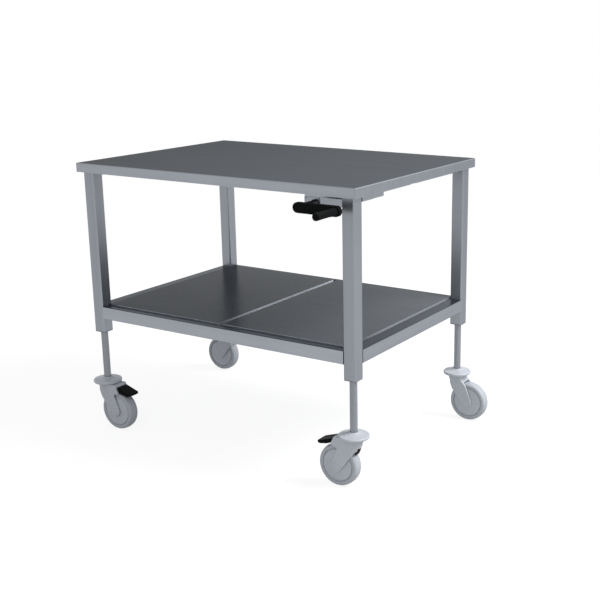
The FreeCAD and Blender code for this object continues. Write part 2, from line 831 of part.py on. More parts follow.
# A point of the wheel's section: distance from the axle, distance from the middle plane
def wheel_point(radius, side):
    return axle + V(radius, side, 0)


def make_hub():
    bore = axle_radius + running_clearance
    boss_side = slot_half - side_gap
    face_side = hub_disc_width / 2
    points = [(bore, boss_side), (hub_boss_radius, boss_side), (hub_boss_radius, face_side + hub_crown)]
    rim = [(hub_disc_radius - hub_disc_edge, face_side), (hub_disc_radius, face_side - hub_disc_edge)]
    half = points + rim
    other = [(radius, -side) for radius, side in reversed(half)]
    corners_3d = [wheel_point(radius, side) for radius, side in half + other]
    edges = []
    for first, second in zip(corners_3d, corners_3d[1:] + corners_3d[:1]):
        edges.append(line(first, second))
    return spun(edges, axle, V(0, 1, 0))


def make_tyre():
    side = tyre_width / 2
    groove_floor = side - tyre_groove_depth
    inner = hub_disc_radius
    lip = inner + tyre_groove
    flat = tyre_flat / 2
    shoulder = wheel_radius - tyre_shoulder
    bulge_radius = wheel_radius - tyre_shoulder * (1 - math.sqrt(0.5))
    bulge_side = flat + (side - flat) * math.sqrt(0.5)
    edges = [line(wheel_point(inner, -groove_floor), wheel_point(lip, -groove_floor)),
             line(wheel_point(lip, -groove_floor), wheel_point(shoulder, -side)),
             arc(wheel_point(shoulder, -side), wheel_point(bulge_radius, -bulge_side),
                 wheel_point(wheel_radius, -flat)),
             line(wheel_point(wheel_radius, -flat), wheel_point(wheel_radius, flat)),
             arc(wheel_point(wheel_radius, flat), wheel_point(bulge_radius, bulge_side),
                 wheel_point(shoulder, side)),
             line(wheel_point(shoulder, side), wheel_point(lip, groove_floor)),
             line(wheel_point(lip, groove_floor), wheel_point(inner, groove_floor)),
             line(wheel_point(inner, groove_floor), wheel_point(inner, -groove_floor))]
    return spun(edges, axle, V(0, 1, 0))


def make_disc():
    bore = rod_radius + running_clearance
    edge = disc_edge_radius
    bend = edge * (1 - math.sqrt(0.5))
    rim_top = disc_foot + disc_rim
    dome_top = rim_top + disc_dome
    collar_top = dome_top + disc_collar_height

    def at(radius, z):
        return V(radius, 0, z)

    outline = [
        line(at(bore, disc_foot), at(disc_radius - edge, disc_foot)),
        arc(at(disc_radius - edge, disc_foot), at(disc_radius - bend, disc_foot + bend),
            at(disc_radius, disc_foot + edge)),
        line(at(disc_radius, disc_foot + edge), at(disc_radius, rim_top - edge)),
        arc(at(disc_radius, rim_top - edge), at(disc_radius - bend, rim_top - bend),
            at(disc_radius - edge, rim_top)),
        arc(at(disc_radius - edge, rim_top),
            at((disc_radius - edge + disc_collar_radius) / 2, rim_top + disc_swell * disc_dome),
            at(disc_collar_radius, dome_top)),
        line(at(disc_collar_radius, dome_top), at(disc_collar_radius - disc_collar_height, collar_top)),
        line(at(disc_collar_radius - disc_collar_height, collar_top), at(bore, collar_top)),
        line(at(bore, collar_top), at(bore, disc_foot)),
    ]
    return spun(outline, V(0, 0, 0), V(0, 0, 1))


def make_rod():
    rod_floor = disc_foot + rod_plug
    bar = Part.makeCylinder(rod_radius, rod_top - disc_foot, V(0, 0, disc_foot))
    guide = Part.makeCylinder(guide_radius, guide_height, V(0, 0, rod_top - guide_height))
    inside = Part.makeCylinder(rod_radius - rod_wall, rod_top - rod_floor, V(0, 0, rod_floor))
    bar = bar.fuse(guide).cut(inside)
    ram = Part.makeCylinder(ram_radius, ram_top - rod_floor, V(0, 0, rod_floor))
    spigot = Part.makeCylinder(spigot_radius, spigot_length, V(0, 0, disc_foot - spigot_length))
    return bar.fuse(ram).fuse(spigot).removeSplitter()


# Rocker: a black lever between the fork cheeks that turns about the pivot. It carries the
# foot pedal behind the hood, the brake pad over the tyre and a release tab in front.
def make_rocker():
    half = slot_half - rocker_gap
    slope = hood_high.sub(hood_low).normalize()
    outward = V(slope.z, 0, -slope.x)
    # the heel swings in toward the hood as the pedal goes down, so it stands off by that much more
    heel_root = hood_low + slope * pedal_heel
    heel = heel_root + outward * (heel_root.sub(pressed(heel_root)).dot(outward) + side_gap)
    crest = hood_low + slope * pedal_rise + outward * pedal_gap
    lever_end = heel.x + pedal_heel
    body = box(-lever_lead, lever_end, -half, half, lever_foot, lever_top)

    toe = V(-tab_toe, 0, castor_height - tab_drop)
    tab = [V(0, 0, lever_top), tab_root, tab_shoulder, toe, toe + V(tab_thickness, 0, 0),
           tab_shoulder + V(tab_thickness, 0, 0), V(-lever_lead, 0, lever_foot), V(0, 0, lever_foot)]
    tab_face = Part.Face(Part.makePolygon(tab + tab[:1]))
    tab_face.translate(V(0, -tab_width / 2, 0))
    body = body.fuse(tab_face.extrude(V(0, tab_width, 0)))

    # the pad clears the tyre by the brake gap when the pedal is right down
    swing = math.radians(brake_swing)
    pad_drop = (axle.x - pivot.x) * -math.sin(swing) + (pivot.z - axle.z) * math.cos(swing)
    pad_foot = pivot.z - (pad_drop - wheel_radius - brake_gap)
    pad_middle = axle.x + (pivot.z - axle.z) * math.sin(swing)
    body = body.fuse(box(pad_middle - brake_pad_length / 2, pad_middle + brake_pad_length / 2,
                         -tyre_width / 2, tyre_width / 2, pad_foot, lever_foot))

    tip = V(castor_trail + pedal_reach, 0, pivot.z - pedal_tip_drop)
    sole = tip - V(pedal_sole, 0, pedal_sole_drop)
    outline = [heel, crest, tip + V(-pedal_nose, 0, pedal_nose), tip, tip - V(0, 0, pedal_nose), sole,
               sole + V(-pedal_belly, 0, pedal_belly_rise)]
    pedal_face = Part.Face(Part.makePolygon(outline + outline[:1]))
    pedal_face.translate(V(0, -pedal_width / 2, 0))
    pedal = pedal_face.extrude(V(0, pedal_width, 0))
    pedal = fillet_where(pedal, pedal_edge_radius, lambda p: abs(abs(p.y) - pedal_width / 2) < 0.01)
    half = pedal_width / 2
    side_end = tip.x - pedal_tip_radius + math.sqrt(pedal_tip_radius ** 2 - half ** 2)
    rim = [line(V(0, half, 0), V(0, -half, 0)), line(V(0, -half, 0), V(side_end, -half, 0)),
           arc(V(side_end, -half, 0), V(tip.x, 0, 0), V(side_end, half, 0)),
           line(V(side_end, half, 0), V(0, half, 0))]
    plan = Part.Face(Part.Wire(rim)).extrude(V(0, 0, castor_height))
    plan = fillet_where(plan, pedal_corner_radius,
                        lambda p: abs(p.x - side_end) < 0.01 and abs(abs(p.y) - half) < 0.01)
    body = body.fuse(pedal.common(plan))
    body = body.fuse(rod_between(pivot - V(0, trunnion_half, 0), pivot + V(0, trunnion_half, 0),
                                 pivot_radius))
    return body.removeSplitter()


for name, (side_x, side_y, trail, braked) in corners.items():
    stem = V(side_x * leg_x, side_y * leg_y, 0)
    pieces = {
        "lift_rod_": make_rod(),
        "castor_disc_": make_disc(),
        "castor_fork_": make_fork(braked),
        "castor_axle_": make_axle(),
        "wheel_hub_": make_hub(),
        "wheel_tyre_": make_tyre(),
    }
    if braked:
        pieces["brake_pedal_"] = make_rocker()
    for prefix, piece in pieces.items():
        if trail < 0:
            piece.rotate(V(0, 0, 0), V(0, 0, 1), 180)
        piece.translate(stem)
        save(prefix + name, piece)
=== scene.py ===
import bpy
import bmesh
import math
from mathutils import Matrix, Vector


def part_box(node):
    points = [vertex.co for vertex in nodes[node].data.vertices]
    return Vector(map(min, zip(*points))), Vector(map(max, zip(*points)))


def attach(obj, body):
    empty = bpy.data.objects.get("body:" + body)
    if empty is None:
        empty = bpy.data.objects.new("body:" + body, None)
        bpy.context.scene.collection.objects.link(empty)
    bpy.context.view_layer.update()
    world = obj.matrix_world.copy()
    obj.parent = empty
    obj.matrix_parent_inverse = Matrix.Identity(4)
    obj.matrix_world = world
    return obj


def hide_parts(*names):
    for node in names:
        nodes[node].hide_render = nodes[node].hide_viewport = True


# Instrument cart: a stainless table on four telescopic legs with castors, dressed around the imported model.
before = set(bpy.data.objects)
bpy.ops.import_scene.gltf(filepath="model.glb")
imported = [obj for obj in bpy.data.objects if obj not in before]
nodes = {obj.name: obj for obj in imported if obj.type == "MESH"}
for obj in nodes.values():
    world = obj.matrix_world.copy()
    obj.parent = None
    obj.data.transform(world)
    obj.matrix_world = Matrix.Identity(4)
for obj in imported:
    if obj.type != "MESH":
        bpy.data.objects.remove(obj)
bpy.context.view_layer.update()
scene = bpy.context.scene
print("frame loaded,", len(nodes), "nodes")

up = Vector((0, 0, 1))
acrossAxis = Vector((0, 1, 0))   # the wheels, the crank and its grip turn about this
corners = ("front_left", "front_right", "back_left", "back_right")
brakedCorners = corners[:2]


def atCorners(stem):
    return [stem + corner for corner in corners]


def boxMiddle(node):
    low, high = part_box(node)
    return (low + high) / 2


viewpoint = {
    "place": (1.92123, -2.61914, 1.27515),
    "turn": 30.53040,        # degrees, as the next two
    "down": 15.00533,
    "roll": -0.06744,
    "lens": 62.91575,
    "sensorWidth": 31.0,     # narrower than the height, so that views from other sides have room
    "sensorHeight": 36.0,
    "shiftX": -0.14,
}


def addCamera(look):
    data = bpy.data.cameras.new("cartCamera")
    data.lens = look["lens"]
    data.sensor_fit = "VERTICAL"
    data.sensor_width = look["sensorWidth"]
    data.sensor_height = look["sensorHeight"]
    data.shift_x = look["shiftX"]
    cam = bpy.data.objects.new("cartCamera", data)
    scene.collection.objects.link(cam)
    level = Matrix.Rotation(math.radians(look["turn"]), 4, "Z")
    tilt = Matrix.Rotation(math.radians(90 - look["down"]), 4, "X")
    roll = Matrix.Rotation(math.radians(look["roll"]), 4, "Z")
    cam.matrix_world = Matrix.Translation(look["place"]) @ level @ tilt @ roll
    scene.camera = cam


addCamera(viewpoint)
scene.view_settings.view_transform = "Standard"
print("camera set")


# what the materials are wired up with
def startMaterial(name):
    mat = bpy.data.materials.new(name)
    mat.use_nodes = True
    return mat, mat.node_tree, mat.node_tree.nodes["Principled BSDF"]


def plug(tree, value, socket):
    # a number or colour goes on the socket, an output is wired to it
    if isinstance(value, bpy.types.NodeSocket):
        tree.links.new(value, socket)
    else:
        socket.default_value = value


def calc(tree, kind, first, second=0.0, clamp=False):
    node = tree.nodes.new("ShaderNodeMath")
    node.operation = kind
    node.use_clamp = clamp
    plug(tree, first, node.inputs[0])
    plug(tree, second, node.inputs[1])
    return node.outputs[0]


def opposite(tree, value):
    return calc(tree, "SUBTRACT", 1.0, value)


def spread(tree, value, fromLow, fromHigh, toLow, toHigh, smooth=False):
    node = tree.nodes.new("ShaderNodeMapRange")
    node.interpolation_type = "SMOOTHSTEP" if smooth else "LINEAR"
    plug(tree, value, node.inputs["Value"])
    for socket, number in zip(node.inputs[1:5], (fromLow, fromHigh, toLow, toHigh)):
        socket.default_value = number
    return node.outputs["Result"]


def ramp(tree, value, limits, smooth=False):
    # 0 at the first limit, 1 at the second
    return spread(tree, value, *limits, 0.0, 1.0, smooth)


noiseSpan = (0.3, 0.7)   # most of a noise lies between these


def swing(tree, noise, amount, middle=0.0):
    # the noise as a swing of so much either way
    return spread(tree, noise, *noiseSpan, middle - amount, middle + amount)


def blendAny(tree, kind, amount, first, second):
    node = tree.nodes.new("ShaderNodeMix")
    node.data_type = kind
    plug(tree, amount, node.inputs["Factor"])
    plug(tree, first, node.inputs["A"])
    plug(tree, second, node.inputs["B"])
    return node.outputs["Result"]


def blendTones(tree, amount, first, second):
    return blendAny(tree, "RGBA", amount, first, second)


def blendValue(tree, amount, first, second):
    return blendAny(tree, "FLOAT", amount, first, second)


def scaleTone(tree, colour, amount):
    node = tree.nodes.new("ShaderNodeVectorMath")
    node.operation = "SCALE"
    plug(tree, colour, node.inputs[0])
    plug(tree, amount, node.inputs["Scale"])
    return node.outputs["Vector"]


def split(tree, vector):
    node = tree.nodes.new("ShaderNodeSeparateXYZ")
    tree.links.new(vector, node.inputs[0])
    return node.outputs


def grainNoise(tree, coords, stretch, detail=2.0, rough=0.5):
    # noise pulled out by different amounts along X, Y and Z
    mapping = tree.nodes.new("ShaderNodeMapping")
    mapping.inputs["Scale"].default_value = stretch
    tree.links.new(coords, mapping.inputs["Vector"])
    noise = tree.nodes.new("ShaderNodeTexNoise")
    noise.inputs["Scale"].default_value = 1.0
    noise.inputs["Detail"].default_value = detail
    noise.inputs["Roughness"].default_value = rough
    tree.links.new(mapping.outputs["Vector"], noise.inputs["Vector"])
    return noise.outputs["Fac"]


edgeTurn = (0.97, 0.80)   # cosines of the turn at which an edge starts to count and counts fully


def edgeMask(tree, radius):
    # 1 where the surface turns over an edge within the radius
    bevel = tree.nodes.new("ShaderNodeBevel")
    bevel.samples = 4
    bevel.inputs["Radius"].default_value = radius
    geometry = tree.nodes.new("ShaderNodeNewGeometry")
    dot = tree.nodes.new("ShaderNodeVectorMath")
    dot.operation = "DOT_PRODUCT"
    tree.links.new(bevel.outputs["Normal"], dot.inputs[0])
    tree.links.new(geometry.outputs["Normal"], dot.inputs[1])
    return ramp(tree, dot.outputs["Value"], edgeTurn)


def paintEdges(tree, shade, radius, edgeWearHighlightTone):
    # edges worn brighter than the faces, partly a painted highlight along them
    wearAndHighlight = spread(tree, edgeMask(tree, radius), 0.0, 1.0, 1.0, edgeWearHighlightTone)
    return calc(tree, "MULTIPLY", shade, wearAndHighlight)


def addBump(tree, height, strength, distance, shader):
    bump = tree.nodes.new("ShaderNodeBump")
    bump.inputs["Strength"].default_value = strength
    bump.inputs["Distance"].default_value = distance
    tree.links.new(height, bump.inputs["Height"])
    tree.links.new(bump.outputs["Normal"], shader.inputs["Normal"])


coolCast = (0.925, 0.985, 1.08)   # all the greys lean a little to blue


def grey(level):
    return tuple(level * part for part in coolCast) + (1.0,)


# the brushed finish that sheets, tubes and rails share
brushing = {
    "lines": 900.0,                    # to the metre across the grain
    "lineLength": 5.0,                 # to the metre along it, as for the streaks
    "lineDetail": (3.0, 0.6),          # detail and roughness of the noise
    "streaks": 55.0,
    "streakLength": 1.6,
    "clouds": 5.0,
    "cloudDetail": (3.0, 0.55),
    "lineTone": 0.035,
    "streakTone": 0.04,
    "cloudTone": 0.03,
    "edgeRadius": 0.0016,
    "edgeWearHighlightTone": 1.35,
    "bumpStrength": 0.07,
    "bumpDepth": 0.00004,
    "roughSpread": 0.025,
    "mirrorCast": (0.97, 1.0, 1.04),   # cast of the reflections at a glance
}

# parts of a folded sheet, told by how far the surface points up or to the side
facings = {
    "top": (0.25, 0.85),
    "under": (-0.25, -0.85),
    "end": (0.6, 0.8),
    "rollStart": (0.05, 0.3),
    "rollStop": (0.85, 0.98),
    "rollRight": (0.0, 0.5),
    "highlightRight": (0.15, 0.5),
}


def brushMarks(tree, place, grain):
    # fine lines and broader streaks, both drawn out along the grain
    def pulled(across, along):
        return [along if axis == grain else across for axis in "xyz"]

    lineScale = pulled(brushing["lines"], brushing["lineLength"])
    streakScale = pulled(brushing["streaks"], brushing["streakLength"])
    return grainNoise(tree, place, lineScale, *brushing["lineDetail"]), grainNoise(tree, place, streakScale)


def addRollHighlight(tree, normal, colour, facing, look):
    # painted highlight: the rolled edge between the flat and the apron is painted lighter than either,
    # lighter still where it faces right
    starts = ramp(tree, normal["Z"], facings["rollStart"], smooth=True)
    stops = ramp(tree, normal["Z"], facings["rollStop"], smooth=True)
    roll = calc(tree, "MULTIPLY", starts, opposite(tree, stops))
    toRight = ramp(tree, normal["X"], facings["rollRight"])
    paintedShine = blendTones(tree, toRight, grey(look["rollHighlightTone"]), grey(look["rollRightHighlightTone"]))
    return blendTones(tree, roll, colour, paintedShine), calc(tree, "MULTIPLY", facing, opposite(tree, roll))


def addEdgeHighlight(tree, spot, colour, metalness, facing, look):
    # painted highlight: the rolled edge at a panel's right end is painted light and made less metallic,
    # dimmer towards the shelf's right end and the front
    bevel = tree.nodes.new("ShaderNodeBevel")
    bevel.inputs["Radius"].default_value = look["radius"]
    turnedTo = split(tree, bevel.outputs["Normal"])
    highlitMask = ramp(tree, turnedTo["X"], facings["highlightRight"], smooth=True)
    alongX = spread(tree, spot["X"], *look["fadeX"], 1.0, look["outer"])
    alongY = spread(tree, spot["Y"], *look["fadeY"], look["front"], 1.0, smooth=True)
    lit = scaleTone(tree, grey(look["tone"])[:3], calc(tree, "MULTIPLY", alongX, alongY))
    colour = blendTones(tree, highlitMask, colour, lit)
    metalness = blendValue(tree, highlitMask, metalness, look["metal"])
    return colour, metalness, calc(tree, "MULTIPLY", facing, opposite(tree, highlitMask))


def paintedLightOver(tree, spot, paintedLightDrift):
    # painted light and shade: slow changes over the flat of a sheet; an axis, where it starts and stops, the
    # tone at each
    level = 1.0
    for axis, start, stop, startTone, stopTone in paintedLightDrift:
        change = spread(tree, spot[axis], start, stop, startTone, stopTone, smooth=True)
        level = calc(tree, "MULTIPLY", level, change)
    return level


def brushedSteel(name, look):
    mat, tree, shader = startMaterial(name)
    coords = tree.nodes.new("ShaderNodeTexCoord")
    place = coords.outputs["Object"]
    spot = split(tree, place)
    normal = split(tree, coords.outputs["Normal"])

    lines, streaks = brushMarks(tree, place, look["grain"])
    if "endGrain" in look:
        # folded ends show the same lines running down over the edge
        ends = ramp(tree, calc(tree, "ABSOLUTE", normal["X"]), facings["end"])
        endLines, endStreaks = brushMarks(tree, place, look["endGrain"])
        lines = blendValue(tree, ends, lines, endLines)
        streaks = blendValue(tree, ends, streaks, endStreaks)
    clouds = grainNoise(tree, place, (brushing["clouds"],) * 3, *brushing["cloudDetail"])

    # painted shade: faces that look up get a darker copy of the steel's tone
    facing = ramp(tree, normal["Z"], facings["top"], smooth=True)
    colour = blendTones(tree, facing, grey(look["tone"]), grey(look["topShadeTone"]))
    if "rollHighlightTone" in look:
        colour, facing = addRollHighlight(tree, normal, colour, facing, look)
    metalness = look["metal"]
    if "topMetal" in look:
        metalness = blendValue(tree, facing, metalness, look["topMetal"])
    if "paintedEdgeLight" in look:
        colour, metalness, facing = addEdgeHighlight(tree, spot, colour, metalness, facing, look["paintedEdgeLight"])
    # painted shade: faces that look down are painted darker
    if "underShadeTone" in look:
        under = ramp(tree, normal["Z"], facings["under"], smooth=True)
        colour = blendTones(tree, under, colour, grey(look["underShadeTone"]))

    shade = 1.0
    for noise, amount in ((lines, "lineTone"), (streaks, "streakTone"), (clouds, "cloudTone")):
        shade = calc(tree, "ADD", shade, swing(tree, noise, brushing[amount]))
    # painted light and shade laid over the faces that look up
    if "paintedLightDrift" in look:
        level = blendValue(tree, facing, 1.0, paintedLightOver(tree, spot, look["paintedLightDrift"]))
        shade = calc(tree, "MULTIPLY", shade, level)
    shade = paintEdges(tree, shade, brushing["edgeRadius"], brushing["edgeWearHighlightTone"])
    tree.links.new(scaleTone(tree, colour, shade), shader.inputs["Base Color"])

    roughness = calc(tree, "ADD", swing(tree, lines, brushing["roughSpread"], look["rough"]),
                     swing(tree, clouds, brushing["roughSpread"]))
    tree.links.new(roughness, shader.inputs["Roughness"])
    addBump(tree, lines, brushing["bumpStrength"], brushing["bumpDepth"], shader)
    plug(tree, metalness, shader.inputs["Metallic"])
    glance = tuple(look["glance"] * part for part in brushing["mirrorCast"]) + (1.0,)
    shader.inputs["Specular Tint"].default_value = glance
    shader.inputs["Specular IOR Level"].default_value = look["gloss"]
    return mat


# glance is how bright the steel's reflections are at a low angle, gloss the sheen of what isn't metal
# in these looks the top tone is painted shade on faces that look up, the under tone painted shade below, the
# rolled tones a painted highlight, the drift painted light and shade
worktopLook = {
    "grain": "x", "endGrain": "z", "rough": 0.26, "glance": 0.38, "gloss": 0.0,
    "tone": 0.335, "topShadeTone": 0.092, "underShadeTone": 0.2, "rollHighlightTone": 0.28, "rollRightHighlightTone": 0.448,
    "metal": 0.9, "topMetal": 0.2,
    "paintedLightDrift": (("Y", -0.35, 0.35, 1.03, 1.0), ("X", -0.5, 0.5, 0.97, 1.1)),
}
legLook = {
    "grain": "z", "rough": 0.33, "glance": 0.6, "gloss": 0.1,
    "tone": 0.297, "topShadeTone": 0.10, "metal": 0.9,
}
longRailLook = {
    "grain": "x", "rough": 0.24, "glance": 0.6, "gloss": 0.1,
    "tone": 0.342, "topShadeTone": 0.06, "metal": 0.9,
}
endRailLook = {
    "grain": "y", "rough": 0.24, "glance": 0.6, "gloss": 0.1,
    "tone": 0.31, "topShadeTone": 0.06, "metal": 0.9,
    "paintedLightDrift": (("Y", -0.3, 0.3, 1.0, 1.7),),
}
# the shelf's sides are painted light where the lamp falls on them, its top painted darker in the worktop's
# shade, its right edge a painted highlight
shelfLook = {
    "grain": "x", "endGrain": "z", "rough": 0.25, "glance": 0.48, "gloss": 0.05,
    "tone": 0.50, "topShadeTone": 0.084, "metal": 0.9, "topMetal": 0.68,
    "paintedLightDrift": (("X", -0.5, 0.4, 0.62, 1.2), ("X", 0.12, 0.5, 1.0, 1.5), ("Y", -0.3, 0.3, 0.85, 1.1)),
    "paintedEdgeLight": {
        "radius": 0.0013, "tone": 0.8, "metal": 0.2,
        "fadeX": (0.1, 0.3), "outer": 0.42,      # darker at the shelf's right end
        "fadeY": (-0.32, -0.1), "front": 0.25,   # and near the front
    },
}
innerLook = {
    "grain": "x", "rough": 0.32, "glance": 0.6, "gloss": 0.1,
    "tone": 0.25, "topShadeTone": 0.2, "metal": 0.8,
}
worktopSteel = brushedSteel("worktopSteel", worktopLook)
legSteel = brushedSteel("legSteel", legLook)
longRailSteel = brushedSteel("longRailSteel", longRailLook)
endRailSteel = brushedSteel("endRailSteel", endRailLook)
shelfSteel = brushedSteel("shelfSteel", shelfLook)
innerSteel = brushedSteel("innerSteel", innerLook)

# turned and drawn bars: rods, pipes, pins and screws
polish = {
    "ringAcross": 3.0,      # to the metre; the rings hardly change across the bar
    "rubAcross": 300.0,
    "rubDetail": 3.0,
    "level": 0.99,
    "ringTone": 0.03,
    "rubTone": 0.04,
    "bumpStrength": 0.2,
    "bumpDepth": 0.00002,
    "gloss": 0.1,
}
rodLook = {"rings": 2600.0, "rubs": 40.0, "tone": 0.29, "rough": 0.22, "roughSpread": 0.03, "metal": 0.5}
pipeLook = {"rings": 600.0, "rubs": 60.0, "tone": 0.4, "rough": 0.3, "roughSpread": 0.04, "metal": 0.9}
screwLook = {"rings": 1500.0, "rubs": 200.0, "tone": 0.42, "rough": 0.3, "roughSpread": 0.05, "metal": 0.9}
bossLook = {"rings": 900.0, "rubs": 120.0, "tone": 0.13, "rough": 0.32, "roughSpread": 0.05, "metal": 0.9}


def polishedSteel(name, look):
    mat, tree, shader = startMaterial(name)
    place = tree.nodes.new("ShaderNodeTexCoord").outputs["Object"]
    ringScale = (polish["ringAcross"], polish["ringAcross"], look["rings"])
    rubScale = (polish["rubAcross"], polish["rubAcross"], look["rubs"])
    rings = grainNoise(tree, place, ringScale)
    rubs = grainNoise(tree, place, rubScale, polish["rubDetail"])
    shade = calc(tree, "ADD", swing(tree, rings, polish["ringTone"], polish["level"]),
                 swing(tree, rubs, polish["rubTone"]))
    tree.links.new(scaleTone(tree, grey(look["tone"])[:3], shade), shader.inputs["Base Color"])
    tree.links.new(swing(tree, rubs, look["roughSpread"], look["rough"]), shader.inputs["Roughness"])
    addBump(tree, rings, polish["bumpStrength"], polish["bumpDepth"], shader)
    shader.inputs["Metallic"].default_value = look["metal"]
    shader.inputs["Specular IOR Level"].default_value = polish["gloss"]
    return mat


rodSteel = polishedSteel("rodSteel", rodLook)
pipeSteel = polishedSteel("pipeSteel", pipeLook)
fastenerSteel = polishedSteel("fastenerSteel", screwLook)
bossSteel = polishedSteel("bossSteel", bossLook)

# moulded plastics, rubber and cast alloy: small specks over slow flow marks
moulding = {
    "speckDetail": (3.0, 0.6),
    "flow": (28.0, 28.0, 14.0),
    "roughSpread": 0.04,
    "edgeRadius": 0.0012,
    "bumpStrength": 0.25,
}
castorLook = {
    "tone": 0.50, "rough": 0.42, "gloss": 0.5, "edgeWearHighlightTone": 1.05,
    "specks": 900.0, "speckTone": 0.03, "speckDepth": 0.00006,   # specks to the metre
}
treadLook = {
    "tone": 0.46, "rough": 0.6, "gloss": 0.35, "edgeWearHighlightTone": 1.0,
    "specks": 1400.0, "speckTone": 0.04, "speckDepth": 0.00010,
}
blackLook = {
    "tone": 0.0042, "rough": 0.5, "gloss": 0.03, "edgeWearHighlightTone": 1.5,
    "specks": 1100.0, "speckTone": 0.10, "speckDepth": 0.00008,
}
bushLook = {
    "tone": 0.16, "rough": 0.45, "gloss": 0.5, "edgeWearHighlightTone": 1.1,
    "specks": 900.0, "speckTone": 0.04, "speckDepth": 0.00006,
}
pumpLook = {
    "tone": 0.30, "rough": 0.5, "gloss": 0.5, "edgeWearHighlightTone": 1.2,
    "specks": 600.0, "speckTone": 0.06, "speckDepth": 0.00012,
}


def mouldedFinish(name, look):
    mat, tree, shader = startMaterial(name)
    place = tree.nodes.new("ShaderNodeTexCoord").outputs["Object"]
    specks = grainNoise(tree, place, (look["specks"],) * 3, *moulding["speckDetail"])
    flow = grainNoise(tree, place, moulding["flow"])
    shade = calc(tree, "ADD", swing(tree, specks, look["speckTone"], 1.0),
                 swing(tree, flow, look["speckTone"]))
    # edges brighter: wear, and partly a painted highlight
    shade = paintEdges(tree, shade, moulding["edgeRadius"], look["edgeWearHighlightTone"])
    tree.links.new(scaleTone(tree, grey(look["tone"])[:3], shade), shader.inputs["Base Color"])
    roughness = calc(tree, "ADD", swing(tree, specks, moulding["roughSpread"], look["rough"]),
                     swing(tree, flow, moulding["roughSpread"]))
    tree.links.new(roughness, shader.inputs["Roughness"])
    addBump(tree, specks, moulding["bumpStrength"], look["speckDepth"], shader)
    shader.inputs["Specular IOR Level"].default_value = look["gloss"]
    return mat


castorPlastic = mouldedFinish("castorPlastic", castorLook)
treadRubber = mouldedFinish("treadRubber", treadLook)
blackPlastic = mouldedFinish("blackPlastic", blackLook)
bushPlastic = mouldedFinish("bushPlastic", bushLook)
pumpAlloy = mouldedFinish("pumpAlloy", pumpLook)
print("materials made:", len(bpy.data.materials))


def coat(material, *names):
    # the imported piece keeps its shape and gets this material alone
    for name in names:
        mesh = nodes[name].data
        mesh.materials.clear()
        mesh.materials.append(material)


coat(worktopSteel, "table_top")
coat(legSteel, *atCorners("leg_"))
coat(longRailSteel, "shelf_rail_front", "shelf_rail_back", "pump_bracket")
coat(endRailSteel, "shelf_rail_left", "shelf_rail_right", "shelf_cross_bar", "shelf_ledges")
coat(endRailSteel, "pump_housing", "pump_front_cover")
coat(shelfSteel, "shelf_panel_left", "shelf_panel_right")
coat(innerSteel, "top_channels", "leg_plates", *atCorners("lift_cylinder_"))
coat(rodSteel, "crank_spindle", "grip_pin", "pump_plungers", *atCorners("lift_rod_"))
coat(fastenerSteel, "pipe_fittings")
coat(pumpAlloy, "pump_carriage")
coat(pipeSteel, "hydraulic_pipes")
coat(bushPlastic, "leg_bushes")
print("finishes laid on the kept pieces")

weldDistance = 1e-6


def addPiece(name, mesh, material, body, slotName, *replaced):
    mesh.materials.clear()
    mesh.materials.append(material)
    piece = bpy.data.objects.new(name, mesh)
    scene.collection.objects.link(piece)
    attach(piece, body)
    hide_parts(*replaced)
    return piece


def closeMesh(bm, name, sharpAngle):
    # faces smooth into each other except over edges sharper than the angle
    bmesh.ops.recalc_face_normals(bm, faces=bm.faces)
    mesh = bpy.data.meshes.new(name)
    bm.to_mesh(mesh)
    bm.free()
    mesh.polygons.foreach_set("use_smooth", [True] * len(mesh.polygons))
    mesh.set_sharp_from_angle(angle=math.radians(sharpAngle))
    return mesh


def roundedProfile(points, steps):
    # each point is (radius, height, rounding); rounded ones turn into short arcs
    path = []
    for i, (radius, height, rounding) in enumerate(points):
        here = Vector((radius, height))
        if not rounding:
            path.append(here)
            continue
        back = (Vector(points[i - 1][:2]) - here).normalized()
        ahead = (Vector(points[(i + 1) % len(points)][:2]) - here).normalized()
        half = back.angle(ahead) / 2
        centre = here + (back + ahead).normalized() * rounding / math.sin(half)
        start = here + back * rounding / math.tan(half) - centre
        end = here + ahead * rounding / math.tan(half) - centre
        sweep = math.pi - 2 * half
        if start.cross(end) < 0:
            sweep = -sweep
        for step in range(steps + 1):
            path.append(centre + Matrix.Rotation(sweep * step / steps, 2) @ start)
    return path


def mirrored(half):
    # a profile down to its middle, and the same again below it
    return half + [(radius, -height, rounding) for radius, height, rounding in reversed(half)]


def turned(bm, profile, place, axis, segments, sixSided=()):
    # a ring of faces for every stretch of the profile, the rings named in sixSided drawn out to a hexagon;
    # points on the axis close it
    frameTurn = axis.to_track_quat("Z", "Y").to_matrix()
    sixth = math.pi / 3
    rings = []
    for number, (radius, height) in enumerate(profile):
        if radius < weldDistance:
            rings.append([bm.verts.new(place + axis * height)])
            continue
        ring = []
        for i in range(segments):
            angle = 2 * math.pi * i / segments
            reach = radius / math.cos(angle % sixth - sixth / 2) if number in sixSided else radius
            spot = frameTurn @ Vector((reach * math.cos(angle), reach * math.sin(angle), height))
            ring.append(bm.verts.new(place + spot))
        rings.append(ring)
    pairs = list(zip(rings, rings[1:]))
    if len(rings[0]) > 1 and len(rings[-1]) > 1:
        pairs.append((rings[-1], rings[0]))
    for first, second in pairs:
        for i in range(segments):
            j = (i + 1) % segments
            quad = [first[i % len(first)], first[j % len(first)],
                    second[j % len(second)], second[i % len(second)]]
            bm.faces.new(list(dict.fromkeys(quad)))


def turnedMesh(name, points, place, axis, fineness):
    bm = bmesh.new()
    turned(bm, roundedProfile(points, fineness["arcSteps"]), place, axis, fineness["segments"])
    return closeMesh(bm, name, fineness["sharpAngle"])


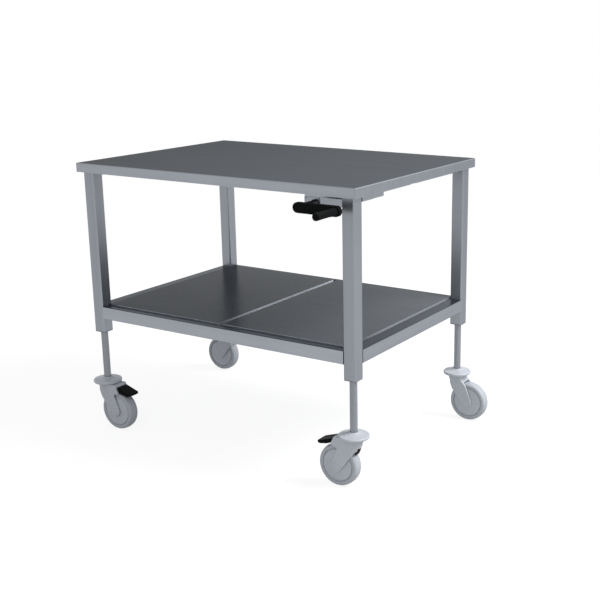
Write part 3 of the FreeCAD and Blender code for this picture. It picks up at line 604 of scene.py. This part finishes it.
def moulded(name, node, shape, material, body, slotName):
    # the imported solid, re-skinned in fine cells and eased so that its edges flow like a moulding
    bm = bmesh.new()
    bm.from_mesh(nodes[node].data)
    bmesh.ops.remove_doubles(bm, verts=bm.verts, dist=weldDistance)
    rough = bpy.data.meshes.new(name + "Rough")
    bm.to_mesh(rough)
    bm.free()
    blank = bpy.data.objects.new(name + "Rough", rough)
    scene.collection.objects.link(blank)
    skin = blank.modifiers.new("skin", "REMESH")
    skin.mode = "VOXEL"
    skin.voxel_size = shape["cell"]
    ease = blank.modifiers.new("ease", "SMOOTH")
    ease.factor = shape["ease"]
    ease.iterations = shape["easings"]
    bpy.context.view_layer.update()
    made = blank.evaluated_get(bpy.context.evaluated_depsgraph_get())
    mesh = bpy.data.meshes.new_from_object(made)
    mesh.name = name
    bpy.data.objects.remove(blank)
    bpy.data.meshes.remove(rough)
    mesh.polygons.foreach_set("use_smooth", [True] * len(mesh.polygons))
    return addPiece(name, mesh, material, body, slotName, node)


wheelShape = {
    "radius": 0.0625,
    "bore": 0.0051,
    "bossRadius": 0.014,
    "bossEdge": 0.0008,
    "bossSpread": 0.0006,     # the boss widens to its foot
    "bossFillet": 0.0004,
    "discRadius": 0.0477,
    "discHalf": 0.016,        # half the disc's thickness at its rim
    "crown": 0.0012,          # added to it at the boss
    "crownReach": 0.72,       # share of the disc's radius where the crown starts to fall
    "crownHold": 0.75,        # share of the crown left there
    "crownBend": 0.01,
    "rimBevel": 0.0016,
    "rimEdge": 0.0022,
    "rimFit": 0.0001,
    "rimFillet": 0.0004,
    "tyreFit": 0.00005,
    "groove": 0.0012,         # ring groove between the hub and the tyre
    "grooveDepth": 0.0042,
    "grooveFillet": 0.0008,
    "lip": 0.0012,
    "lipEdge": 0.0020,
    "tyreHalf": 0.017,
    "shoulder": 0.0022,
    "shoulderDrop": 0.0004,
    "shoulderEdge": 0.0065,
    "treadHalf": 0.005,
    "treadEdge": 0.006,
    "hubFineness": {"segments": 96, "arcSteps": 5, "sharpAngle": 38.0},
    "tyreFineness": {"segments": 96, "arcSteps": 7, "sharpAngle": 38.0},
}


def makeHub(corner, shape):
    # bored boss, gently crowned disc, rounded rim
    low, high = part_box("wheel_hub_" + corner)
    bossHalf = (high.y - low.y) / 2
    floorHalf = shape["tyreHalf"] - shape["grooveDepth"]
    crownHalf = shape["discHalf"] + shape["crown"]
    fallHalf = shape["discHalf"] + shape["crown"] * shape["crownHold"]
    half = [
        (shape["bore"], bossHalf, 0.0),
        (shape["bossRadius"], bossHalf, shape["bossEdge"]),
        (shape["bossRadius"] + shape["bossSpread"], crownHalf, shape["bossFillet"]),
        (shape["discRadius"] * shape["crownReach"], fallHalf, shape["crownBend"]),
        (shape["discRadius"] - shape["rimBevel"], shape["discHalf"], shape["rimEdge"]),
        (shape["discRadius"] - shape["rimFit"], floorHalf, shape["rimFillet"]),
    ]
    middle = boxMiddle("castor_axle_" + corner)
    mesh = turnedMesh("wheelHub", mirrored(half), middle, acrossAxis, shape["hubFineness"])
    addPiece("wheelHub_" + corner, mesh, castorPlastic, "wheel_" + corner,
             "castor_plastic", "wheel_hub_" + corner)


def makeTyre(corner, shape):
    # full rounded shoulders and a narrow flat tread
    inner = shape["discRadius"] + shape["tyreFit"]
    floorHalf = shape["tyreHalf"] - shape["grooveDepth"]
    shoulderHalf = shape["tyreHalf"] - shape["shoulderDrop"]
    half = [
        (inner, floorHalf, 0.0),
        (inner + shape["groove"], floorHalf, shape["grooveFillet"]),
        (inner + shape["groove"] + shape["lip"], shape["tyreHalf"], shape["lipEdge"]),
        (shape["radius"] - shape["shoulder"], shoulderHalf, shape["shoulderEdge"]),
        (shape["radius"], shape["treadHalf"], shape["treadEdge"]),
    ]
    middle = boxMiddle("castor_axle_" + corner)
    mesh = turnedMesh("wheelTyre", mirrored(half), middle, acrossAxis, shape["tyreFineness"])
    addPiece("wheelTyre_" + corner, mesh, treadRubber, "wheel_" + corner,
             "wheel_tread", "wheel_tyre_" + corner)


discShape = {
    "bore": 0.0111,
    "boreEdge": 0.0006,
    "foot": 0.001,            # the underside's edge lies this far in
    "footEase": 0.0004,
    "edge": 0.0042,
    "edgeBand": 0.0008,       # height between the two rounded edges
    "ring": 0.036,
    "ringLift": 0.0010,
    "slope": 0.026,
    "slopeLift": 0.0032,
    "domeBend": 0.012,
    "collar": 0.016,
    "collarDrop": 0.0018,
    "collarBend": 0.0025,
    "lip": 0.0145,
    "lipEdge": 0.0008,
    "lipBore": 0.0005,
    "fineness": {"segments": 112, "arcSteps": 7, "sharpAngle": 50.0},
}


def makeDisc(corner, shape):
    # low dome with a collar round the rod
    low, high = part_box("castor_disc_" + corner)
    middle = (low + high) / 2
    radius = (high.x - low.x) / 2
    tall = high.z - low.z
    rim = shape["edge"] * 2 + shape["edgeBand"]
    points = [
        (shape["bore"], 0.0, shape["boreEdge"]),
        (radius - shape["foot"], 0.0, shape["edge"] - shape["footEase"]),
        (radius, rim, shape["edge"]),
        (shape["ring"], rim + shape["ringLift"], shape["domeBend"]),
        (shape["slope"], rim + shape["slopeLift"], shape["domeBend"]),
        (shape["collar"], tall - shape["collarDrop"], shape["collarBend"]),
        (shape["lip"], tall, shape["lipEdge"]),
        (shape["bore"], tall, shape["lipBore"]),
    ]
    mesh = turnedMesh("castorDisc", points, Vector((middle.x, middle.y, low.z)), up, shape["fineness"])
    addPiece("castorDisc_" + corner, mesh, castorPlastic, "foot_" + corner,
             "castor_plastic", "castor_disc_" + corner)


axleShape = {
    "bar": 0.005,
    "head": 0.010,
    "headEdge": 0.0004,
    "headDepth": 0.002,
    "dome": 0.0005,
    "domeReach": 0.6,         # share of the head's radius where the dome bends down
    "domeFall": 0.3,          # share of the dome's height lost by then
    "domeBend": 0.003,
    "fineness": {"segments": 48, "arcSteps": 5, "sharpAngle": 38.0},
}


def makeAxle(corner, shape):
    low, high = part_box("castor_axle_" + corner)
    half = (high.y - low.y) / 2
    headHalf = half - shape["dome"]
    headFoot = headHalf - shape["headDepth"]
    points = [
        (0.0, half, 0.0),
        (shape["head"] * shape["domeReach"], half - shape["dome"] * shape["domeFall"], shape["domeBend"]),
        (shape["head"], headHalf, shape["headEdge"]),
        (shape["head"], headFoot, 0.0),
        (shape["bar"], headFoot, 0.0),
    ]
    mesh = turnedMesh("castorAxle", mirrored(points), (low + high) / 2, acrossAxis, shape["fineness"])
    addPiece("castorAxle_" + corner, mesh, castorPlastic, "castor_" + corner,
             "castor_plastic", "castor_axle_" + corner)


# size of the new skin's cells, then how far and how often they are eased
forkShape = {"cell": 0.0008, "ease": 0.5, "easings": 3}
pedalShape = {"cell": 0.0008, "ease": 0.5, "easings": 4}

for corner in corners:
    makeHub(corner, wheelShape)
    makeTyre(corner, wheelShape)
    makeDisc(corner, discShape)
    makeAxle(corner, axleShape)
    moulded("castorFork_" + corner, "castor_fork_" + corner, forkShape, castorPlastic,
            "castor_" + corner, "castor_plastic")
for corner in brakedCorners:
    moulded("brakePedal_" + corner, "brake_pedal_" + corner, pedalShape, blackPlastic,
            "brake_" + corner, "black_plastic")
print("castors dressed")

armShape = {"cell": 0.001, "ease": 0.5, "easings": 5, "depth": 0.0168}


def makeArm(shape):
    # a black arm; what lies further back than its depth is the steel boss
    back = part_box("crank_arm")[0].y + shape["depth"]
    arm = moulded("crankArm", "crank_arm", shape, blackPlastic, "crank", "black_plastic")
    arm.data.materials.append(bossSteel)
    for face in arm.data.polygons:
        if face.center.y > back:
            face.material_index = 1


gripShape = {
    "bore": 0.0045,
    "endWall": 0.005,
    "root": 0.0112,
    "rootEdge": 0.002,
    "rootTo": 0.08,           # shares of the grip's length, as the next three places
    "rootBend": 0.008,
    "waist": 0.0098,
    "waistFrom": 0.3,
    "waistTo": 0.6,
    "waistBend": 0.06,
    "tip": 0.0103,
    "tipFrom": 0.85,
    "tipBend": 0.03,
    "tipEdge": 0.004,
    "fineness": {"segments": 64, "arcSteps": 6, "sharpAngle": 38.0},
}


def makeGrip(shape):
    # a turned handle: fuller where it meets the arm, a slight waist, a rounded end
    low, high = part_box("crank_grip")
    middle = (low + high) / 2
    length = high.y - low.y
    depth = length - shape["endWall"]
    points = [
        (0.0, depth, 0.0),
        (shape["bore"], depth, 0.0),
        (shape["bore"], 0.0, 0.0),
        (shape["root"], 0.0, shape["rootEdge"]),
        (shape["root"], length * shape["rootTo"], shape["rootBend"]),
        (shape["waist"], length * shape["waistFrom"], shape["waistBend"]),
        (shape["waist"], length * shape["waistTo"], shape["waistBend"]),
        (shape["tip"], length * shape["tipFrom"], shape["tipBend"]),
        (shape["tip"], length, shape["tipEdge"]),
        (0.0, length, 0.0),
    ]
    root = Vector((middle.x, high.y, middle.z))
    mesh = turnedMesh("crankGrip", points, root, -acrossAxis, shape["fineness"])
    addPiece("crankGrip", mesh, blackPlastic, "grip", "black_plastic", "crank_grip")


makeArm(armShape)
makeGrip(gripShape)
print("crank dressed")

# shares of the screw's radius
screwShape = {
    "edge": 0.2,
    "socket": 0.5,
    "socketEdge": 0.08,
    "socketDepth": 0.6,
    "socketPoint": 1.15,      # share of the depth that the drilled point reaches
    "fineness": {"segments": 36, "arcSteps": 4, "sharpAngle": 30.0},
}


def solidBoxes(node):
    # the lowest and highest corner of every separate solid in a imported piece
    bm = bmesh.new()
    bm.from_mesh(nodes[node].data)
    bmesh.ops.remove_doubles(bm, verts=bm.verts, dist=weldDistance)
    left = set(bm.verts)
    boxes = []
    while left:
        waiting = [left.pop()]
        found = list(waiting)
        while waiting:
            vert = waiting.pop()
            for link in vert.link_edges:
                other = link.other_vert(vert)
                if other in left:
                    left.discard(other)
                    waiting.append(other)
                    found.append(other)
        spots = [nodes[node].matrix_world @ vert.co for vert in found]
        boxes.append((Vector([min(spot[k] for spot in spots) for k in range(3)]),
                      Vector([max(spot[k] for spot in spots) for k in range(3)])))
    bm.free()
    return sorted(boxes, key=lambda box: [round(value, 4) for value in box[0]])


def makeScrews(name, node, headDirection, shape):
    # one turned screw with a hexagon socket for every solid
    fineness = shape["fineness"]
    bm = bmesh.new()
    for low, high in solidBoxes(node):
        middle = (low + high) / 2
        axis = headDirection(middle)
        half = abs((high - low).dot(axis)) / 2
        across = [size for size, part in zip(high - low, axis) if abs(part) < 0.5]   # square to the axis
        radius = min(across) / 2
        socket = radius * shape["socket"]
        depth = radius * shape["socketDepth"]
        profile = roundedProfile([
            (0.0, -half, 0.0),
            (radius, -half, 0.0),
            (radius, half, radius * shape["edge"]),
            (socket / math.cos(math.pi / 6), half, 0.0),
        ], fineness["arcSteps"])
        rim = len(profile)
        profile += [(socket, half - radius * shape["socketEdge"]), (socket, half - depth),
                    (0.0, half - depth * shape["socketPoint"])]
        turned(bm, profile, middle, axis, fineness["segments"], (rim, rim + 1))
    mesh = closeMesh(bm, name, fineness["sharpAngle"])
    addPiece(name, mesh, fastenerSteel, "cart_frame", "fastener", node)


makeScrews("legSetScrews", "leg_set_screws",
           lambda spot: Vector((-math.copysign(1, spot.x), 0, 0)), screwShape)
makeScrews("pumpCoverScrews", "pump_cover_screws", lambda spot: -acrossAxis, screwShape)
makeScrews("legPlateBolts", "leg_plate_bolts", lambda spot: -up, screwShape)
print("screws made")

room = {
    "floorRadius": 4.2,
    "floorDrop": 0.0005,
    "floorSegments": 128,
    "fadeFrom": 2.6,       # from here out the floor fades into the white around it
    "fadeTo": 4.1,
    "floorTone": 0.2,
    "mottle": 3.0,
    "mottleDetail": 3.0,
    "mottleTone": 1.02,
    "floorBounce": 0.5,    # its tone where it only throws light back at the object
    "floorLift": 0.86,     # its own brightness where it is seen
    "skyDiffuse": 0.5,     # strength of the sky where it only lights the object
    "aim": (0, 0, 0.5),
    "key": {"place": (2.9, 0.9, 3.4), "size": 2.4, "power": 180.0},
    "fill": {"place": (2.1, -6.2, 3.1), "size": 3.7, "power": 73.0},
}


def evenTone(level):
    return (level, level, level, 1.0)


def floorPaint(look):
    mat, tree, shader = startMaterial("floorPaint")
    tree.nodes.remove(shader)
    place = tree.nodes.new("ShaderNodeTexCoord").outputs["Object"]
    rays = tree.nodes.new("ShaderNodeLightPath")
    seen = calc(tree, "ADD", rays.outputs["Is Camera Ray"], rays.outputs["Is Glossy Ray"], clamp=True)
    mottle = grainNoise(tree, place, (look["mottle"],) * 3, look["mottleDetail"])
    pale = blendTones(tree, ramp(tree, mottle, noiseSpan), evenTone(look["floorTone"]),
                      evenTone(look["floorTone"] * look["mottleTone"]))
    paint = tree.nodes.new("ShaderNodeBsdfDiffuse")
    plug(tree, blendTones(tree, seen, evenTone(look["floorBounce"]), pale), paint.inputs["Color"])
    glow = tree.nodes.new("ShaderNodeEmission")
    plug(tree, calc(tree, "MULTIPLY", seen, look["floorLift"]), glow.inputs["Strength"])
    both = tree.nodes.new("ShaderNodeAddShader")
    tree.links.new(paint.outputs[0], both.inputs[0])
    tree.links.new(glow.outputs[0], both.inputs[1])

    length = tree.nodes.new("ShaderNodeVectorMath")
    length.operation = "LENGTH"
    tree.links.new(place, length.inputs[0])
    fade = ramp(tree, length.outputs["Value"], (look["fadeFrom"], look["fadeTo"]), smooth=True)
    clear = tree.nodes.new("ShaderNodeBsdfTransparent")
    mixed = tree.nodes.new("ShaderNodeMixShader")
    tree.links.new(fade, mixed.inputs["Fac"])
    tree.links.new(both.outputs[0], mixed.inputs[1])
    tree.links.new(clear.outputs[0], mixed.inputs[2])
    tree.links.new(mixed.outputs[0], tree.nodes["Material Output"].inputs["Surface"])
    return mat


def addFloor(look):
    bm = bmesh.new()
    bmesh.ops.create_circle(bm, cap_ends=True, segments=look["floorSegments"], radius=look["floorRadius"],
                            matrix=Matrix.Translation((0, 0, -look["floorDrop"])))
    mesh = bpy.data.meshes.new("floor")
    bm.to_mesh(mesh)
    bm.free()
    floor = bpy.data.objects.new("floor", mesh)
    scene.collection.objects.link(floor)
    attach(floor, "foot_front_left")   # the floor stays under the castors as the lifts move
    mesh.materials.append(floorPaint(look))


def addSky(look):
    # white where it is seen, softer where it only lights the object
    world = bpy.data.worlds.new("whiteRoom")
    scene.world = world
    world.use_nodes = True
    tree = world.node_tree
    back = tree.nodes["Background"]
    back.inputs["Color"].default_value = evenTone(1.0)
    rays = tree.nodes.new("ShaderNodeLightPath")
    direct = calc(tree, "ADD", rays.outputs["Is Camera Ray"], rays.outputs["Is Glossy Ray"])
    direct = calc(tree, "ADD", direct, rays.outputs["Is Transmission Ray"], clamp=True)
    tree.links.new(spread(tree, direct, 0.0, 1.0, look["skyDiffuse"], 1.0), back.inputs["Strength"])


def addSoftbox(name, look, aim):
    data = bpy.data.lights.new(name, "AREA")
    data.shape = "DISK"
    data.size = look["size"]
    data.energy = look["power"]
    lamp = bpy.data.objects.new(name, data)
    scene.collection.objects.link(lamp)
    lamp.location = look["place"]
    lamp.rotation_euler = (Vector(aim) - Vector(look["place"])).to_track_quat("-Z", "Y").to_euler()


addFloor(room)
addSky(room)
addSoftbox("keySoftbox", room["key"], room["aim"])
addSoftbox("fillSoftbox", room["fill"], room["aim"])
print("floor and light set")
